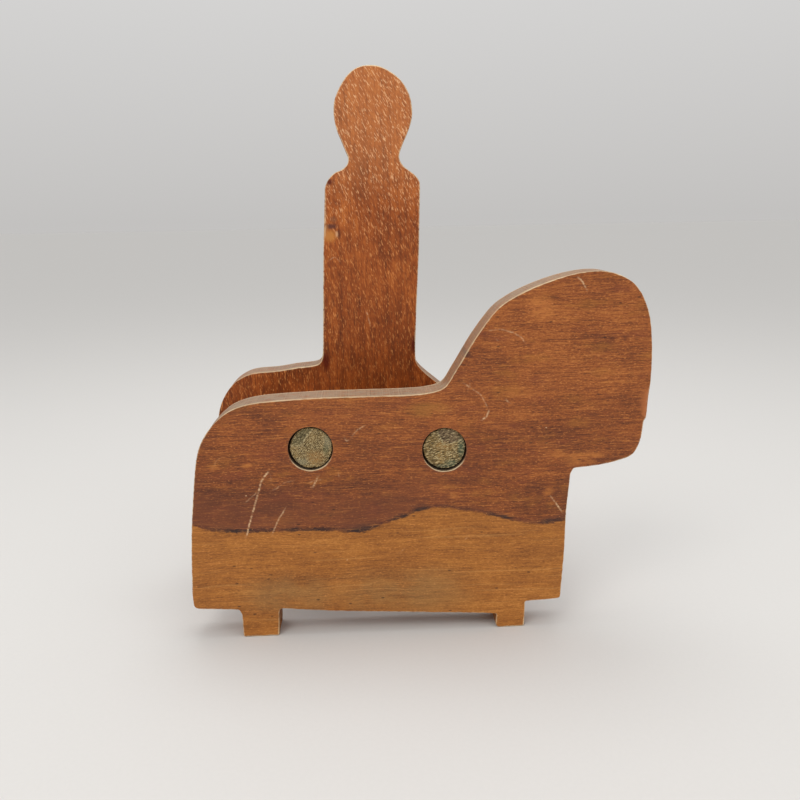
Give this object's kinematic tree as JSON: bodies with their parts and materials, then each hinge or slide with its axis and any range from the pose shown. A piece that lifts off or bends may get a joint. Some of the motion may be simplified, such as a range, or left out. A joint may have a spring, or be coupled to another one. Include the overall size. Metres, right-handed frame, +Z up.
{
  "type": "horse and rider letter rack",
  "caption": "Free-standing letter rack: a sawn horse board in front and a sawn rider board behind, held apart by cross dowels whose ends show in the boards.",
  "frame": {"origin": "on the floor, in the middle of the footprint", "axes": "+Z up; +X from the horse's rump towards its muzzle; +Y from the horse board towards the rider board"},
  "size_m": [0.231, 0.095, 0.2895],
  "materials": {
    "horse_wood": "old satin varnish, reddish heartwood over a lighter sapwood band",
    "rider_wood": "orange-red stained beech with light ray flecks, satin varnish",
    "dowel_wood": "pale beech dowel, its rough end grain greyed and unvarnished"
  },
  "bodies": {
    "root": {"horse_board": "horse_wood", "rider_board": "rider_wood", "rump_dowel": "dowel_wood", "chest_dowel": "dowel_wood"}
  },
  "joints": []
}
